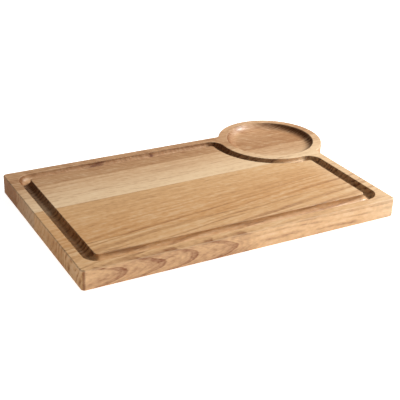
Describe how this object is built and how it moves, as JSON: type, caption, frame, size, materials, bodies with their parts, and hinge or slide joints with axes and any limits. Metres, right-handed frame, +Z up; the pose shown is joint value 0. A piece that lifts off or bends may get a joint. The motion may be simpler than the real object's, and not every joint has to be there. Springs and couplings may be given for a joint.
{
  "type": "chip and dip server",
  "caption": "Flat wooden serving board, glued up from staves, with a juice groove round its top and a shallow round dip well that stands out past one corner.",
  "frame": {"origin": "under the centre of the whole outline's box, on the face the board rests on", "axes": "+X along the grain towards the dip well's end, +Y towards the back edge, +Z up out of the serving face"},
  "size_m": [0.37, 0.25, 0.02],
  "materials": {
    "oak_tan": "oiled, satin",
    "oak_pale": "oiled, satin",
    "oak_brown": "oiled, satin"
  },
  "bodies": {
    "root": {"stave_front": "oak_tan", "stave_centre": "oak_tan", "stave_back_mid": "oak_pale", "stave_back": "oak_brown"}
  },
  "joints": []
}
